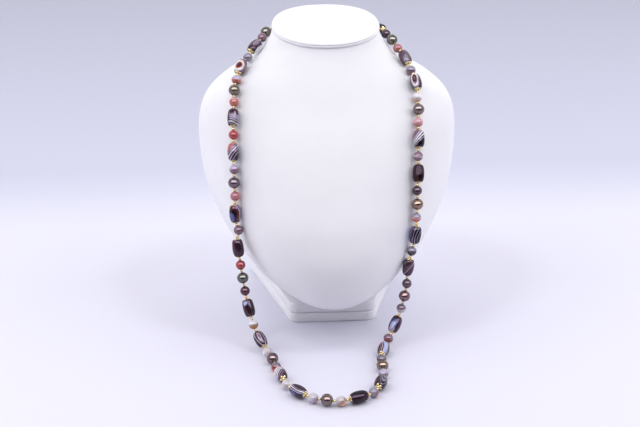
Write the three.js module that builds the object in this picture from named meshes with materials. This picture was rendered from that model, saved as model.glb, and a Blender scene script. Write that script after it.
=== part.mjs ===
import * as THREE from "three";

// A beaded necklace laid round a covered neck bust, its lower end resting on the table in front.
// Millimetres. The front is towards minus Y, up is plus Z, and the bust's middle line is X = 0.

// Colours
const gold = 0xc99a3a;
const pearlTone = 0x8f7f78;
const agateTone = 0x4a2f33;
const leatheretteTone = 0xeceaf0;

// Clearances
const gapBetweenPieces = 0.3;
const endGap = gapBetweenPieces;

// Thread and spacer beads
const threadRadius = 0.5;
const boreRadius = threadRadius + gapBetweenPieces;
const spacerRadius = 1.25;
const spacerEndRadius = 0.85;

// Round beads
const roundRadius = 4.05;
const roundSlices = 5;

// Pearls
const pearlRadius = 4.8;
const pearlLength = 9.2;
const pearlSlices = 4;

// Barrel beads and their end caps
const barrelRadius = 4.9;
const barrelEndRadius = 2.5;
const barrelLength = 14.4;
const barrelSlices = 4;
const barrelFullness = 0.55; // under one makes the flanks fuller than a half wave
const capLength = 0.8;
const capRimRadius = 2.6;
const capCrownRadius = 1;

// Sides of every turned bead
const beadSides = 10;

// The order that the strand repeats, and how often
const beadOrder = ["pearl", "round", "barrel", "round", "barrel", "round"];
const orderRepeats = 12;

// Bust
const bustHalfWidth = 111.5;
const bustDepth = 198;
const bustHeight = 215.4;
const chestOverhang = 47; // the chest reaches this far in front of the base
const bustSides = 32;
const bustRows = 18;
const frontFullness = 2.05;
const backFullness = 2.3;
const neckLean = 10.5; // degrees, the top leans down towards the front
const leanStart = 0.84; // share of the bust's height where the lean begins

// Oval board on the neck
const neckCapThickness = 3;
const neckCapOverhang = 0.6;
const neckCapEdge = 0.6;

// Base of two boards
const boardThickness = 9;
const baseFrontHalfWidth = 36;
const baseBackHalfWidth = 74;
const baseDepth = 118;
const baseFrontCorner = 9;
const baseBackCorner = 12;
const boardEdge = 1.2;
const cornerSteps = 4;

const bustBottom = 2 * (boardThickness + gapBetweenPieces);

// Level sections of the bust. Rise is a share of its height, width a share of its half width, and
// the front, widest and back lines are shares of its depth.
const bustSections = [
  { rise: 0, width: 0.251, front: 0.263, widest: 0.54, back: 0.793 },
  { rise: 0.025, width: 0.368, front: 0.136, widest: 0.545, back: 0.838 },
  { rise: 0.072, width: 0.493, front: 0.045, widest: 0.56, back: 0.884 },
  { rise: 0.137, width: 0.65, front: 0.005, widest: 0.581, back: 0.919 },
  { rise: 0.239, width: 0.798, front: 0, widest: 0.601, back: 0.955 },
  { rise: 0.355, width: 0.915, front: 0.05, widest: 0.616, back: 0.98 },
  { rise: 0.471, width: 0.978, front: 0.131, widest: 0.626, back: 0.995 },
  { rise: 0.587, width: 1, front: 0.217, widest: 0.631, back: 1 },
  { rise: 0.694, width: 0.987, front: 0.303, widest: 0.636, back: 1 },
  { rise: 0.768, width: 0.924, front: 0.374, widest: 0.646, back: 0.995 },
  { rise: 0.824, width: 0.798, front: 0.424, widest: 0.662, back: 0.987 },
  { rise: 0.861, width: 0.664, front: 0.455, widest: 0.677, back: 0.98 },
  { rise: 0.893, width: 0.556, front: 0.48, widest: 0.692, back: 0.97 },
  { rise: 0.926, width: 0.484, front: 0.503, widest: 0.707, back: 0.957 },
  { rise: 0.963, width: 0.435, front: 0.523, widest: 0.722, back: 0.944 },
  { rise: 1, width: 0.411, front: 0.538, widest: 0.735, back: 0.934 },
];

// Height of the thread where the strand lies on the table
const tableLineHeight = 4.6;

// Route of the thread, once round, from the left side of the neck down over the chest to the
// table, round the front, up the right side and behind the neck. The columns are a share of the
// bust's half width, a share of its depth from the chest's front line, and a share of the way
// from the strand's height on the table to the neck's top.
const routePoints = [
  [-0.425, 0.854, 0.964],
  [-0.475, 0.788, 0.952],
  [-0.538, 0.727, 0.935],
  [-0.601, 0.672, 0.913],
  [-0.655, 0.611, 0.887],
  [-0.709, 0.5, 0.83],
  [-0.726, 0.404, 0.756],
  [-0.735, 0.323, 0.647],
  [-0.735, 0.268, 0.542],
  [-0.735, 0.227, 0.433],
  [-0.714, 0.192, 0.316],
  [-0.682, 0.152, 0.202],
  [-0.646, 0.106, 0.106],
  [-0.601, 0.056, 0.045],
  [-0.538, -0.01, 0.006],
  [-0.475, -0.106, 0],
  [-0.43, -0.222, 0],
  [-0.377, -0.308, 0],
  [-0.269, -0.374, 0],
  [-0.099, -0.419, 0],
  [0.054, -0.414, 0],
  [0.188, -0.379, 0],
  [0.278, -0.303, 0],
  [0.305, -0.207, 0],
  [0.309, -0.116, 0],
  [0.341, -0.035, 0.002],
  [0.413, 0.04, 0.021],
  [0.484, 0.091, 0.076],
  [0.529, 0.116, 0.154],
  [0.556, 0.126, 0.25],
  [0.601, 0.141, 0.372],
  [0.623, 0.194, 0.49],
  [0.637, 0.268, 0.603],
  [0.65, 0.364, 0.73],
  [0.655, 0.457, 0.808],
  [0.623, 0.571, 0.878],
  [0.574, 0.657, 0.917],
  [0.502, 0.737, 0.943],
  [0.448, 0.818, 0.961],
  [0.341, 0.929, 0.935],
  [0.179, 0.995, 0.891],
  [0, 1.02, 0.869],
  [-0.179, 0.995, 0.891],
  [-0.332, 0.934, 0.935],
];
const routeSamples = 3000;

// Beads whose route is this little above their own radius lie on the table.
const tableReach = 0.7;
// Beads that clear the bust by less than the nearer value are drawn onto it, and by more than the
// farther value they hang free.
const pullNear = 1.2;
const pullFar = 3.5;
const settlePasses = 3;

const leanAngle = THREE.MathUtils.degToRad(neckLean);
const capNormal = new THREE.Vector3(0, -Math.sin(leanAngle), Math.cos(leanAngle));

const quarterTurn = Math.PI / 2;

// One sheet of quads between rings of points, closed at both ends, or running back into itself.
function skinRings(rings, joinEnds) {
  const sides = rings[0].length;
  const positions = rings.flat().flatMap((point) => [point.x, point.y, point.z]);
  const faces = [];
  const lastRing = joinEnds ? rings.length : rings.length - 1;
  for (let row = 0; row < lastRing; row += 1) {
    const nextRow = (row + 1) % rings.length;
    for (let side = 0; side < sides; side += 1) {
      const nextSide = (side + 1) % sides;
      const lower = row * sides + side;
      const lowerNext = row * sides + nextSide;
      const upper = nextRow * sides + side;
      const upperNext = nextRow * sides + nextSide;
      faces.push(lower, lowerNext, upperNext, lower, upperNext, upper);
    }
  }
  if (!joinEnds) {
    closeEnd(rings[0], 0, positions, faces, true);
    closeEnd(rings.at(-1), (rings.length - 1) * sides, positions, faces, false);
  }
  const geometry = new THREE.BufferGeometry();
  geometry.setAttribute("position", new THREE.Float32BufferAttribute(positions, 3));
  geometry.setIndex(faces);
  geometry.computeVertexNormals();
  return geometry;
}

// A fan from the middle of an end ring.
function closeEnd(ring, offset, positions, faces, isFirst) {
  const middle = new THREE.Vector3();
  ring.forEach((point) => middle.add(point));
  middle.divideScalar(ring.length);
  const hub = positions.length / 3;
  positions.push(middle.x, middle.y, middle.z);
  ring.forEach((point, side) => {
    const here = offset + side;
    const next = offset + ((side + 1) % ring.length);
    faces.push(...(isFirst ? [hub, next, here] : [hub, here, next]));
  });
}

function makeMesh(name, geometry, color, roughness, metalness) {
  const material = new THREE.MeshStandardMaterial({ color, roughness, metalness });
  const mesh = new THREE.Mesh(geometry, material);
  mesh.name = name;
  return mesh;
}

// Value of one column of the section table at a share of the height, on a smooth line.
function sectionShare(column, rise) {
  const rows = bustSections;
  let row = 0;
  while (row < rows.length - 2 && rows[row + 1].rise < rise) row += 1;
  const span = rows[row + 1].rise - rows[row].rise;
  const share = (rise - rows[row].rise) / span;
  const slopeAt = (index) => {
    const before = rows[Math.max(index - 1, 0)];
    const after = rows[Math.min(index + 1, rows.length - 1)];
    return (after[column] - before[column]) / (after.rise - before.rise);
  };
  const startSlope = slopeAt(row) * span;
  const endSlope = slopeAt(row + 1) * span;
  const change = rows[row + 1][column] - rows[row][column];
  const bend = 3 * change - 2 * startSlope - endSlope;
  const twist = startSlope + endSlope - 2 * change;
  return rows[row][column] + share * (startSlope + share * (bend + share * twist));
}

const depthLine = (column, rise) => sectionShare(column, rise) * bustDepth - chestOverhang;
const signedPower = (value, power) => Math.sign(value) * Math.abs(value) ** power;

// How much higher the leaning top is at a point of a section.
function leanAt(rise, y) {
  const share = Math.max(0, (rise - leanStart) / (1 - leanStart));
  return share * share * Math.tan(leanAngle) * (y - depthLine("widest", 1));
}

function bustRing(rise, grow) {
  const halfWidth = sectionShare("width", rise) * bustHalfWidth + grow;
  const widest = depthLine("widest", rise);
  const frontReach = widest - depthLine("front", rise) + grow;
  const backReach = depthLine("back", rise) - widest + grow;
  const height = bustBottom + rise * bustHeight;
  const ring = [];
  for (let side = 0; side < bustSides; side += 1) {
    const angle = (2 * Math.PI * side) / bustSides;
    const isFront = Math.sin(angle) < 0;
    const power = 2 / (isFront ? frontFullness : backFullness);
    const reach = isFront ? frontReach : backReach;
    const x = halfWidth * signedPower(Math.cos(angle), power);
    const y = widest + reach * signedPower(Math.sin(angle), power);
    ring.push(new THREE.Vector3(x, y, height + leanAt(rise, y)));
  }
  return ring;
}

function makeBust() {
  const rings = [];
  for (let row = 0; row <= bustRows; row += 1) {
    rings.push(bustRing(row / bustRows, 0));
  }
  return skinRings(rings, false);
}

// The oval board follows the neck's top ring, a little wider, with a softened edge.
function makeNeckCap() {
  const raised = (grow, rise) =>
    bustRing(1, grow).map((point) => point.clone().addScaledVector(capNormal, rise));
  const bottom = gapBetweenPieces;
  const top = bottom + neckCapThickness;
  const rings = [
    raised(neckCapOverhang - neckCapEdge, bottom),
    raised(neckCapOverhang, bottom + neckCapEdge),
    raised(neckCapOverhang, top - neckCapEdge),
    raised(neckCapOverhang - neckCapEdge, top),
  ];
  return skinRings(rings, false);
}

// Outline of a board of the base with round corners, drawn in by a margin.
function boardOutline(margin) {
  const slope = (baseBackHalfWidth - baseFrontHalfWidth) / baseDepth;
  const sideAngle = Math.atan(slope);
  const corners = [
    { radius: baseFrontCorner, from: -quarterTurn, to: -sideAngle },
    { radius: baseBackCorner, from: -sideAngle, to: quarterTurn },
  ];
  const right = corners.flatMap((corner, index) => {
    const startsAtFront = index === 0;
    const middleY = startsAtFront ? corner.radius : baseDepth - corner.radius;
    const flank = baseFrontHalfWidth + slope * middleY;
    const middleX = flank - corner.radius / Math.cos(sideAngle);
    return Array.from({ length: cornerSteps + 1 }, (unused, step) => {
      const angle = corner.from + ((corner.to - corner.from) * step) / cornerSteps;
      const reach = corner.radius - margin;
      return new THREE.Vector2(middleX + reach * Math.cos(angle), middleY + reach * Math.sin(angle));
    });
  });
  const left = right.map((point) => new THREE.Vector2(-point.x, point.y)).reverse();
  return [...right, ...left];
}

function makeBoard(bottom) {
  const levels = [
    { margin: boardEdge, height: bottom },
    { margin: 0, height: bottom + boardEdge },
    { margin: 0, height: bottom + boardThickness - boardEdge },
    { margin: boardEdge, height: bottom + boardThickness },
  ];
  const rings = levels.map((level) =>
    boardOutline(level.margin).map((point) => new THREE.Vector3(point.x, point.y, level.height)),
  );
  return skinRings(rings, false);
}

// Length that a bead takes on the thread, with its own caps and end gaps.
const lengthOnThread = {
  pearl: pearlLength + 2 * endGap,
  round: 2 * Math.sqrt(roundRadius ** 2 - spacerEndRadius ** 2),
  barrel: barrelLength + 2 * (capLength + endGap),
};
const radiusOf = { pearl: pearlRadius, round: roundRadius, barrel: barrelRadius };
const strand = Array.from({ length: orderRepeats }, () => beadOrder).flat();

// The route as a fine line of equal steps, and the point at a distance along it.
const routeCurve = new THREE.CatmullRomCurve3(
  routePoints.map(([side, depth, rise]) => {
    const height = THREE.MathUtils.lerp(tableLineHeight, bustBottom + bustHeight, rise);
    return new THREE.Vector3(side * bustHalfWidth, depth * bustDepth - chestOverhang, height);
  }),
  true,
  "centripetal",
);
routeCurve.arcLengthDivisions = routeSamples;
const routeLine = routeCurve.getSpacedPoints(routeSamples);
const routeLength = routeCurve.getLength();
const routeStep = routeLength / routeSamples;

function routeAt(distance) {
  const steps = (((distance / routeStep) % routeSamples) + routeSamples) % routeSamples;
  const before = Math.floor(steps);
  return routeLine[before].clone().lerp(routeLine[before + 1], steps - before);
}

// The distance along the route where a straight piece of a given length ends.
function stepAlong(distance, length) {
  const start = routeAt(distance);
  let nearer = distance + length;
  let farther = nearer + routeStep;
  while (routeAt(farther).distanceTo(start) < length) farther += routeStep;
  for (let pass = 0; pass < 24; pass += 1) {
    const middle = (nearer + farther) / 2;
    if (routeAt(middle).distanceTo(start) < length) nearer = middle;
    else farther = middle;
  }
  return (nearer + farther) / 2;
}

// Beads strung along the route with one gap between all neighbours.
function stringBeads(gap) {
  let distance = 0;
  const beads = strand.map((kind) => {
    const start = distance;
    const end = stepAlong(start, lengthOnThread[kind]);
    distance = stepAlong(end, gap);
    return { kind, start: routeAt(start), end: routeAt(end) };
  });
  return { beads, reach: distance };
}

// The gap with which the strand closes on itself.
function closingGap() {
  let narrow = 0.2;
  let wide = 8;
  for (let pass = 0; pass < 30; pass += 1) {
    const middle = (narrow + wide) / 2;
    if (stringBeads(middle).reach < routeLength) narrow = middle;
    else wide = middle;
  }
  return (narrow + wide) / 2;
}

const spacerGap = closingGap();
const bustGeometry = makeBust();

// The point of a surface nearest to a given point.
function nearestPoint(geometry, point) {
  const position = geometry.getAttribute("position");
  const corner = (index) => new THREE.Vector3().fromBufferAttribute(position, geometry.index.array[index]);
  const candidate = new THREE.Vector3();
  const nearest = new THREE.Vector3();
  let least = Infinity;
  for (let face = 0; face < geometry.index.count; face += 3) {
    const triangle = new THREE.Triangle(corner(face), corner(face + 1), corner(face + 2));
    triangle.closestPointToPoint(point, candidate);
    const distance = candidate.distanceTo(point);
    if (distance < least) {
      least = distance;
      nearest.copy(candidate);
    }
  }
  return nearest;
}

// Where along a bead, and with what share of its radius, it is tried against the bust.
const touchTrials = {
  pearl: [{ along: 0, share: 1 }],
  round: [{ along: 0, share: 1 }],
  barrel: [
    { along: -0.42, share: 0.75 },
    { along: -0.25, share: 0.96 },
    { along: 0, share: 1 },
    { along: 0.25, share: 0.96 },
    { along: 0.42, share: 0.75 },
  ],
};

// The shift that brings a bead's tightest place to rest on the bust, or none where it hangs clear.
function restingShift(bead) {
  const span = bead.end.clone().sub(bead.start);
  const middle = bead.start.clone().add(bead.end).divideScalar(2);
  const trials = touchTrials[bead.kind].map((trial) => {
    const point = middle.clone().addScaledVector(span, trial.along);
    const outward = point.clone().sub(nearestPoint(bustGeometry, point));
    return { outward, clearance: outward.length() - trial.share * radiusOf[bead.kind] };
  });
  const tightest = trials.reduce((least, trial) => (trial.clearance < least.clearance ? trial : least));
  const excess = tightest.clearance - gapBetweenPieces;
  const pull = excess * (1 - THREE.MathUtils.smoothstep(excess, pullNear, pullFar));
  return tightest.outward.setLength(-pull);
}

// Beads over the table are let down onto it, and the others are brought to rest on the bust.
function settle(bead) {
  const radius = radiusOf[bead.kind];
  const height = (bead.start.z + bead.end.z) / 2;
  const lift = new THREE.Vector3(0, 0, radius - height);
  for (let pass = 0; pass < settlePasses; pass += 1) {
    const shift = height < radius + tableReach ? lift : restingShift(bead);
    bead.start.add(shift);
    bead.end.add(shift);
    lift.setScalar(0);
  }
  return bead;
}

const beads = stringBeads(spacerGap).beads.map(settle);

// Radii of a turned bead at equal turns from one end to the other.
function archProfile(radius, endRadius, length, slices, fullness) {
  const rows = [];
  for (let slice = 0; slice <= slices; slice += 1) {
    const share = slice / slices;
    const rise = Math.sin(Math.PI * share) ** fullness;
    const along = -0.5 * length * Math.cos(Math.PI * share);
    rows.push({ along, radius: endRadius + (radius - endRadius) * rise });
  }
  return rows;
}

// A drilled bead turned about its own axis: outside from end to end, then back along the bore.
function makeDrilledBead(bead, profile) {
  const length = profile.at(-1).along - profile[0].along;
  const rows = [
    ...profile,
    { along: length / 2, radius: boreRadius },
    { along: -length / 2, radius: boreRadius },
  ];
  const middle = bead.start.clone().add(bead.end).divideScalar(2);
  const axis = bead.end.clone().sub(bead.start).normalize();
  const rings = rows.map((row) => ringAround(middle.clone().addScaledVector(axis, row.along), axis, row.radius));
  return skinRings(rings, true);
}

const upward = new THREE.Vector3(0, 0, 1);
const sideways = new THREE.Vector3(1, 0, 0);

function ringAround(middle, axis, radius) {
  const guide = Math.abs(axis.z) < 0.8 ? upward : sideways;
  const across = new THREE.Vector3().crossVectors(guide, axis).normalize();
  return turnedRing(middle, axis, across, radius, 0);
}

function turnedRing(middle, axis, across, radius, turn) {
  const along = new THREE.Vector3().crossVectors(axis, across).normalize();
  return Array.from({ length: beadSides }, (unused, side) => {
    const angle = turn + (2 * Math.PI * side) / beadSides;
    return middle
      .clone()
      .addScaledVector(across, radius * Math.cos(angle))
      .addScaledVector(along, radius * Math.sin(angle));
  });
}

const pearlProfile = archProfile(pearlRadius, boreRadius * 2, pearlLength, pearlSlices, 1);
const barrelProfile = archProfile(barrelRadius, barrelEndRadius, barrelLength, barrelSlices, barrelFullness);

// Rings of the fused string over one bead, as distances from its start, and over the gap after it.
function stringRows(kind, length) {
  if (kind === "pearl") {
    return [
      { along: 0, radius: threadRadius },
      { along: length, radius: threadRadius },
    ];
  }
  if (kind === "barrel") {
    return [
      { along: 0, radius: capCrownRadius },
      { along: capLength, radius: capRimRadius },
      { along: capLength, radius: threadRadius },
      { along: length - capLength, radius: threadRadius },
      { along: length - capLength, radius: capRimRadius },
      { along: length, radius: capCrownRadius },
    ];
  }
  const rows = [{ along: 0, radius: spacerEndRadius }];
  const widening = 1 / Math.cos(Math.PI / (2 * roundSlices));
  for (let slice = 1; slice < roundSlices; slice += 1) {
    const angle = (Math.PI * slice) / roundSlices;
    rows.push({
      along: length / 2 - roundRadius * Math.cos(angle),
      radius: Math.min(roundRadius, roundRadius * widening * Math.sin(angle)),
    });
  }
  rows.push({ along: length, radius: spacerEndRadius });
  return rows;
}

function stringRings() {
  const stations = [];
  beads.forEach((bead, index) => {
    const axis = bead.end.clone().sub(bead.start);
    const length = axis.length();
    axis.normalize();
    stringRows(bead.kind, length).forEach((row) => {
      stations.push({ middle: bead.start.clone().addScaledVector(axis, row.along), axis, radius: row.radius });
    });
    const next = beads[(index + 1) % beads.length];
    const gapAxis = next.start.clone().sub(bead.end).normalize();
    const middle = bead.end.clone().lerp(next.start, 0.5);
    stations.push({ middle, axis: gapAxis, radius: spacerRadius });
  });
  // The rings' zero side is carried along without turning, and what it has turned by at the end is
  // shared out over all rings, so that the last ring meets the first.
  const flatten = (direction, axis) => direction.clone().addScaledVector(axis, -direction.dot(axis)).normalize();
  const first = flatten(upward.clone().add(sideways), stations[0].axis);
  let across = first;
  stations.forEach((station) => {
    across = flatten(across, station.axis);
    station.across = across;
  });
  const last = flatten(across, stations[0].axis);
  const square = new THREE.Vector3().crossVectors(stations[0].axis, first);
  const overTurn = Math.atan2(last.dot(square), last.dot(first));
  return stations.map((station, index) => {
    const turn = (-overTurn * index) / stations.length;
    return turnedRing(station.middle, station.axis, station.across, station.radius, turn);
  });
}

const necklace = new THREE.Group();

const counts = { pearl: 0, barrel: 0 };
beads.forEach((bead) => {
  if (bead.kind === "round") return;
  counts[bead.kind] += 1;
  const name = bead.kind + "_" + String(counts[bead.kind]).padStart(2, "0");
  const isPearl = bead.kind === "pearl";
  const geometry = makeDrilledBead(bead, isPearl ? pearlProfile : barrelProfile);
  necklace.add(makeMesh(name, geometry, isPearl ? pearlTone : agateTone, isPearl ? 0.25 : 0.15, 0));
});

necklace.add(makeMesh("bead_string", skinRings(stringRings(), true), gold, 0.3, 1));
necklace.add(makeMesh("bust", bustGeometry, leatheretteTone, 0.55, 0));
necklace.add(makeMesh("neck_cap", makeNeckCap(), leatheretteTone, 0.55, 0));
necklace.add(makeMesh("base_lower", makeBoard(0), leatheretteTone, 0.55, 0));
necklace.add(makeMesh("base_upper", makeBoard(boardThickness + gapBetweenPieces), leatheretteTone, 0.55, 0));

// The origin is set on the floor under the middle of the whole object.
const wholeBox = new THREE.Box3().setFromObject(necklace);
const wholeMiddle = wholeBox.getCenter(new THREE.Vector3());
necklace.children.forEach((mesh) => mesh.geometry.translate(-wholeMiddle.x, -wholeMiddle.y, 0));

export default necklace;
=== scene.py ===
import math

import bpy
import numpy as np
from mathutils import Euler, Matrix, Vector, noise


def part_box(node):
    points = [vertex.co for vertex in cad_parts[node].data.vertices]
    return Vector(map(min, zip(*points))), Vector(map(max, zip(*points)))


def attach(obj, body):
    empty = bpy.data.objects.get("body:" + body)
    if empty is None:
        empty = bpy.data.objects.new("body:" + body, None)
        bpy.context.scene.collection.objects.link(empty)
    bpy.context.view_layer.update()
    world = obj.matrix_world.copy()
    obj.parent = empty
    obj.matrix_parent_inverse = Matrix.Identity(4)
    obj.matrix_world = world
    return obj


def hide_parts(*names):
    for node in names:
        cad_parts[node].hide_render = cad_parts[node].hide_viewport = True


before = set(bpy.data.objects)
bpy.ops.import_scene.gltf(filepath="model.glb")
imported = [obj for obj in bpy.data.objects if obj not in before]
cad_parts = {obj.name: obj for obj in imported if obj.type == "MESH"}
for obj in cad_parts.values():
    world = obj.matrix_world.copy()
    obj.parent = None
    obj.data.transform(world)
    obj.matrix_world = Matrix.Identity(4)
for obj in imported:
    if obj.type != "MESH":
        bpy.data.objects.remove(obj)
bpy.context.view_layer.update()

bl_info = {
    "name": "Beaded necklace on a neck bust",
    "version": (1, 0, 0),
    "blender": (4, 5, 0),
    "location": "3D View > Sidebar > Necklace",
    "description": "Makes the agate and pearl necklace, its bust and its stage",
    "category": "Add Mesh",
}

MM = 0.001

# Camera that sees the necklace as the photograph does
CAMERA_PLACE = Vector((-0.0674, -0.9079, 0.5064))
CAMERA_TILT = 65.8
CAMERA_YAW = -3.6
CAMERA_LENS = 66.7
SENSOR_WIDTH = 36
# What the lights point at, and half of the floor's width, in metres
LIGHT_AIM = Vector((0, 0, 0.12))
FLOOR_HALF = 4.0

# Order that the strand repeats, and how often
BEAD_ORDER = ("pearl", "round", "barrel", "round", "barrel", "round")
ORDER_REPEATS = 12
# Half of the length that each kind of bead takes on the thread, in millimetres
HALF_LENGTH = {"pearl": 4.9, "round": 3.96, "barrel": 8.3}

# Sizes that the settings don't hold, in millimetres
PEARL_LENGTH = 9.5
BARREL_END_RADIUS = 2.1
SPACER_LENGTH = 2.1
STOP_RADIUS = 0.4
BASE_TOP = 18.6
EDGE_RADIUS = 1.4
# String points of one round stone, by their reach from its middle and from its bore
ROUND_REACH = (3.7, 4.9)
ROUND_ASIDE = 3.2

# Kinds of small pieces on the string
ROUND, SPACER, CAP, THREAD = range(4)
# A pearl's points that lie nearest its middle, all of them round its bore
BORE_POINTS = 20
# Share of the height where the neck starts to lean, and how square its sections are
LEAN_START = 0.84
FRONT_FULLNESS = 2.05
BACK_FULLNESS = 2.3
BUST_ROWS = 120
BUST_SIDES = 144

# What all polished stones share, and the tints of their shine
POLISH = {"Roughness": 0.11, "IOR": 1.54}
AGATE_SHINE = (0.86, 0.7, 1.0, 1.0)
ROUND_SHINE = (0.93, 0.8, 0.97, 1.0)
# How wide neighbouring bands blend, in millimetres, and neighbouring layers, as a share
BAND_EDGE = 0.3
LAYER_EDGE = 0.22
# How fast the fine lines of a round stone follow each other
FINE_LINES = 26.0

# Stone tones, as red, green and blue out of 255
TONES = {
    "milk": (228, 224, 230),
    "bone": (198, 191, 196),
    "ice": (172, 182, 220),
    "slate": (78, 90, 138),
    "lilac": (178, 167, 193),
    "haze": (146, 141, 159),
    "ash": (112, 106, 117),
    "mauve": (126, 97, 111),
    "rose": (178, 112, 119),
    "blush": (205, 158, 162),
    "salmon": (184, 104, 94),
    "coral": (166, 58, 54),
    "brick": (132, 48, 38),
    "amber": (192, 98, 34),
    "peach": (212, 164, 134),
    "ochre": (160, 118, 60),
    "tan": (168, 137, 119),
    "wine": (72, 23, 32),
    "plum": (66, 43, 55),
    "umber": (76, 39, 35),
    "cocoa": (84, 67, 68),
    "aubergine": (46, 23, 35),
    "charcoal": (40, 29, 38),
    "jet": (19, 9, 16),
}


def eye_look(centre, stretch, tilt, bands, patches=(), gloss=0.5):
    """Banding in rings round a centre, stretched by a share each way and tilted by degrees."""
    return {
        "centre": centre,
        "stretch": stretch,
        "tilt": tilt,
        "start": 0,
        "bands": bands,
        "patches": patches,
        "gloss": gloss,
    }


def stripe_look(direction, bend, bands, patches=(), gloss=0.5):
    """Banding across a direction in degrees, bent with a radius: rings of a centre far away."""
    angle = math.radians(direction)
    centre = (-bend * math.cos(angle), -bend * math.sin(angle), 0)
    return {**eye_look(centre, (1, 1, 1), 0, bands, patches, gloss), "start": bend}


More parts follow.
